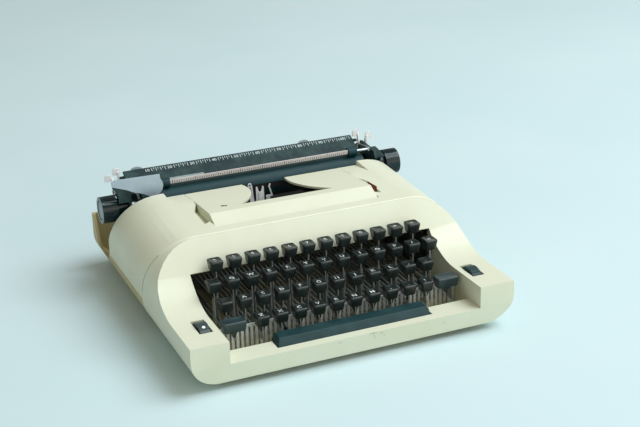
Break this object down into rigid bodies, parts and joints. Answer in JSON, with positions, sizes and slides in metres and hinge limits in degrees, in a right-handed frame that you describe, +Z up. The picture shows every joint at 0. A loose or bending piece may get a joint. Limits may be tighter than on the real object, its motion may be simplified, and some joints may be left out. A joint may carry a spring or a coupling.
{
  "type": "portable typewriter",
  "caption": "Low portable typewriter with a sloping keyboard, moulded shells, a hinged ribbon cover and a sliding carriage with platen, knobs and levers.",
  "frame": {"origin": "centre of the outer box at the plane of the feet", "axes": "+X to the typist's right, +Y from the keyboard to the carriage, +Z up"},
  "size_m": [0.342, 0.34, 0.124],
  "materials": {
    "cream_abs": "moulded, satin",
    "foot_rubber": "matt",
    "steel_plate": "zinc plated",
    "bright_steel": "ground",
    "chromed_lever": "satin chrome",
    "black_enamel": "semi-gloss enamel",
    "key_plastic": "moulded",
    "slate_plastic": "moulded",
    "black_felt": "felt",
    "platen_rubber": "ground rubber",
    "white_plastic": "moulded",
    "bell_brass": "spun",
    "ribbon_fabric": "inked"
  },
  "bodies": {
    "machine": {"base_pan": "cream_abs", "front_shell": "cream_abs", "top_housing": "cream_abs", "rubber_feet": "foot_rubber", "main_frame": "steel_plate", "frame_screws": "bright_steel", "key_comb": "steel_plate", "key_fulcrum_shaft": "bright_steel", "carriage_rail": "steel_plate", "bell": "bell_brass", "card_holder": "white_plastic", "ribbon": "ribbon_fabric", "cover_hinge_rod": "bright_steel"},
    "cover": {"ribbon_cover": "cream_abs"},
    "basket": {"segment": "steel_plate", "typebar_rest": "black_felt", "typebars": "steel_plate", "type_guide": "steel_plate"},
    "typebar": {"striking_typebar": "steel_plate"},
    "vibrator": {"ribbon_vibrator": "steel_plate"},
    "spool_left": {"ribbon_spool_left": "key_plastic"},
    "spool_right": {"ribbon_spool_right": "key_plastic"},
    "drum": {"spring_drum": "steel_plate"},
    "escapement": {"escapement_wheel": "steel_plate"},
    "selector_wheel": {"ribbon_selector_wheel": "slate_plastic"},
    "touch": {"touch_wheel": "slate_plastic"},
    "number_row": {"number_row_keys": "key_plastic"},
    "upper_row": {"upper_row_keys": "key_plastic"},
    "home_row": {"home_row_keys": "key_plastic"},
    "lower_row": {"lower_row_keys": "key_plastic"},
    "struck_key": {"striking_key": "key_plastic"},
    "tab": {"tab_key": "key_plastic"},
    "backspace": {"backspace_key": "key_plastic"},
    "shift_lock": {"shift_lock_key": "key_plastic"},
    "shift_frame": {"left_shift_key": "key_plastic", "right_shift_key": "key_plastic", "shift_frame_bar": "steel_plate"},
    "space": {"space_bar": "slate_plastic"},
    "carriage": {"carriage_frame": "black_enamel", "end_cover_left": "black_enamel", "end_cover_right": "black_enamel", "paper_table": "black_enamel", "paper_pan": "black_enamel", "margin_rail": "bright_steel"},
    "margin_left": {"margin_stop_left": "steel_plate"},
    "margin_right": {"margin_stop_right": "steel_plate"},
    "feed": {"feed_rollers": "platen_rubber"},
    "platen": {"platen_roller": "platen_rubber", "platen_shaft": "bright_steel", "knob_left": "key_plastic", "knob_right": "key_plastic", "ratchet_wheel": "steel_plate"},
    "lever": {"return_lever": "chromed_lever"},
    "paper_release": {"paper_release_lever": "chromed_lever"},
    "release_left": {"carriage_release_left": "chromed_lever"},
    "release_right": {"carriage_release_right": "chromed_lever"},
    "line_selector": {"line_space_selector": "chromed_lever"},
    "bail": {"paper_bail": "bright_steel", "bail_scale": "white_plastic"},
    "bail_roll": {"bail_rollers": "platen_rubber"}
  },
  "joints": [
    {"name": "cover_hinge", "type": "hinge", "parent": "machine", "child": "cover", "pos_m": [0, -0.0258, 0.0977], "axis": [1, 0, 0], "range_deg": [0, 65]},
    {"name": "number_row_press", "type": "hinge", "parent": "machine", "child": "number_row", "pos_m": [0, 0.065, 0.0235], "axis": [1, 0, 0], "range_deg": [0, 2.9], "stiffness_Nm_per_rad": 1, "springref_deg": -6.88},
    {"name": "upper_row_press", "type": "hinge", "parent": "machine", "child": "upper_row", "pos_m": [0, 0.065, 0.0235], "axis": [1, 0, 0], "range_deg": [0, 2.9], "stiffness_Nm_per_rad": 1, "springref_deg": -6.88},
    {"name": "home_row_press", "type": "hinge", "parent": "machine", "child": "home_row", "pos_m": [0, 0.065, 0.0235], "axis": [1, 0, 0], "range_deg": [0, 2.9], "stiffness_Nm_per_rad": 1, "springref_deg": -6.88},
    {"name": "lower_row_press", "type": "hinge", "parent": "machine", "child": "lower_row", "pos_m": [0, 0.065, 0.0235], "axis": [1, 0, 0], "range_deg": [0, 2.9], "stiffness_Nm_per_rad": 1, "springref_deg": -6.88},
    {"name": "struck_key_press", "type": "hinge", "parent": "machine", "child": "struck_key", "pos_m": [0, 0.065, 0.0235], "axis": [1, 0, 0], "range_deg": [0, 2.9], "stiffness_Nm_per_rad": 0.6, "springref_deg": -6.88},
    {"name": "tab_press", "type": "hinge", "parent": "machine", "child": "tab", "pos_m": [0, 0.065, 0.0235], "axis": [1, 0, 0], "range_deg": [0, 2.9], "stiffness_Nm_per_rad": 0.2, "springref_deg": -6.88},
    {"name": "backspace_press", "type": "hinge", "parent": "machine", "child": "backspace", "pos_m": [0, 0.065, 0.0235], "axis": [1, 0, 0], "range_deg": [0, 2.9], "stiffness_Nm_per_rad": 0.2, "springref_deg": -6.88},
    {"name": "shift_lock_press", "type": "hinge", "parent": "machine", "child": "shift_lock", "pos_m": [0, 0.065, 0.0235], "axis": [1, 0, 0], "range_deg": [0, 2.9], "stiffness_Nm_per_rad": 0.2, "springref_deg": -6.88},
    {"name": "shift_press", "type": "hinge", "parent": "machine", "child": "shift_frame", "pos_m": [0, 0.065, 0.0235], "axis": [1, 0, 0], "range_deg": [0, 2.9], "stiffness_Nm_per_rad": 3, "springref_deg": -11.46},
    {"name": "space_press", "type": "hinge", "parent": "machine", "child": "space", "pos_m": [0, 0.065, 0.0235], "axis": [1, 0, 0], "range_deg": [0, 1.9], "stiffness_Nm_per_rad": 1, "springref_deg": -6.88},
    {"name": "basket_shift", "type": "slide", "parent": "machine", "child": "basket", "axis": [0, 0, -1], "range_m": [0, 0.0064]},
    {"name": "typebar_swing", "type": "hinge", "parent": "basket", "child": "typebar", "pos_m": [0, 0.076, 0.04], "axis": [-1, 0, 0], "range_deg": [0, 88]},
    {"name": "vibrator_lift", "type": "slide", "parent": "machine", "child": "vibrator", "axis": [0, 0, 1], "range_m": [0, 0.0061]},
    {"name": "spool_left_spin", "type": "hinge", "parent": "machine", "child": "spool_left", "pos_m": [-0.068, 0.032, 0.084], "axis": [0, 0, 1], "continuous": true},
    {"name": "spool_right_spin", "type": "hinge", "parent": "machine", "child": "spool_right", "pos_m": [0.068, 0.032, 0.084], "axis": [0, 0, 1], "continuous": true},
    {"name": "drum_spin", "type": "hinge", "parent": "machine", "child": "drum", "pos_m": [-0.09, 0.148, 0.0103], "axis": [0, 0, 1], "continuous": true},
    {"name": "escapement_spin", "type": "hinge", "parent": "machine", "child": "escapement", "pos_m": [0, 0.148, 0.0103], "axis": [0, 0, 1], "continuous": true},
    {"name": "ribbon_selector_turn", "type": "hinge", "parent": "machine", "child": "selector_wheel", "pos_m": [-0.1405, -0.13, 0.0355], "axis": [1, 0, 0], "range_deg": [-30, 30]},
    {"name": "touch_turn", "type": "hinge", "parent": "machine", "child": "touch", "pos_m": [0.1405, -0.13, 0.0355], "axis": [1, 0, 0], "range_deg": [-40, 40]},
    {"name": "carriage_slide", "type": "slide", "parent": "machine", "child": "carriage", "axis": [1, 0, 0], "range_m": [-0.105, 0.105]},
    {"name": "margin_left_slide", "type": "slide", "parent": "carriage", "child": "margin_left", "axis": [1, 0, 0], "range_m": [0, 0.09]},
    {"name": "margin_right_slide", "type": "slide", "parent": "carriage", "child": "margin_right", "axis": [1, 0, 0], "range_m": [-0.06, 0.04]},
    {"name": "platen_spin", "type": "hinge", "parent": "carriage", "child": "platen", "pos_m": [0, 0.101, 0.0875], "axis": [1, 0, 0], "continuous": true},
    {"name": "feed_spin", "type": "hinge", "parent": "carriage", "child": "feed", "pos_m": [0, 0.11115, 0.06992], "axis": [1, 0, 0], "continuous": true},
    {"name": "return_lever_swing", "type": "hinge", "parent": "carriage", "child": "lever", "pos_m": [-0.148, 0.086, 0.102], "axis": [0, -1, 0], "range_deg": [0, 120]},
    {"name": "paper_release_pull", "type": "hinge", "parent": "carriage", "child": "paper_release", "pos_m": [0.139, 0.128, 0.097], "axis": [1, 0, 0], "range_deg": [0, 18]},
    {"name": "release_left_pull", "type": "hinge", "parent": "carriage", "child": "release_left", "pos_m": [-0.144, 0.124, 0.092], "axis": [1, 0, 0], "range_deg": [0, 12]},
    {"name": "release_right_pull", "type": "hinge", "parent": "carriage", "child": "release_right", "pos_m": [0.144, 0.124, 0.092], "axis": [1, 0, 0], "range_deg": [0, 12]},
    {"name": "line_selector_turn", "type": "hinge", "parent": "carriage", "child": "line_selector", "pos_m": [-0.153, 0.107, 0.103], "axis": [1, 0, 0], "range_deg": [-12, 12]},
    {"name": "bail_lift", "type": "hinge", "parent": "carriage", "child": "bail", "pos_m": [0, 0.12, 0.103], "axis": [-1, 0, 0], "range_deg": [0, 50]},
    {"name": "bail_roller_spin", "type": "hinge", "parent": "bail", "child": "bail_roll", "pos_m": [0, 0.09748, 0.10749], "axis": [1, 0, 0], "continuous": true}
  ],
  "couplings": [
    {"joint": "basket_shift", "follows": "shift_press", "m_per_rad": 0.1255},
    {"joint": "typebar_swing", "follows": "struck_key_press", "ratio": 30.3},
    {"joint": "vibrator_lift", "follows": "struck_key_press", "m_per_rad": 0.1185},
    {"joint": "spool_right_spin", "follows": "spool_left_spin", "ratio": 1},
    {"joint": "drum_spin", "follows": "carriage_slide", "rad_per_m": 86.957},
    {"joint": "escapement_spin", "follows": "carriage_slide", "rad_per_m": 142.86},
    {"joint": "feed_spin", "follows": "platen_spin", "ratio": -3},
    {"joint": "bail_roller_spin", "follows": "platen_spin", "ratio": -3}
  ]
}
